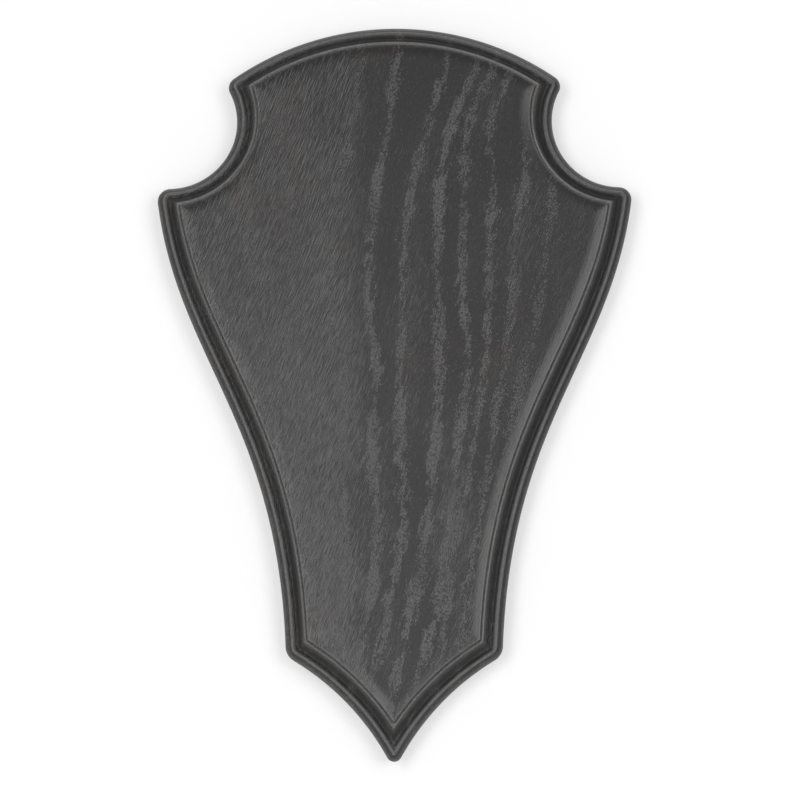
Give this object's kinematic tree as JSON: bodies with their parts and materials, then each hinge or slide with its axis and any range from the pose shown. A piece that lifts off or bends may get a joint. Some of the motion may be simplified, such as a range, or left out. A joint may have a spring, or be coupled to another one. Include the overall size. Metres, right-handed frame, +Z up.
{
  "type": "antler mounting plaque",
  "caption": "Shield-shaped wall plaque of black-stained oak with a moulded edge and flat field for a pair of roe antlers, with a keyhole hanging slot in its back.",
  "frame": {"origin": "on the flat back, on the centre line, 115 mm below the top of the crown", "axes": "+Z up as it hangs, +Y out of the flat back towards the wall, so the moulded face looks along -Y, and +X to the right as a viewer sees the face"},
  "size_m": [0.1476, 0.015, 0.23],
  "materials": {
    "stained_oak": "satin black stain on open-grained oak"
  },
  "bodies": {
    "root": {"plaque": "stained_oak"}
  },
  "joints": []
}
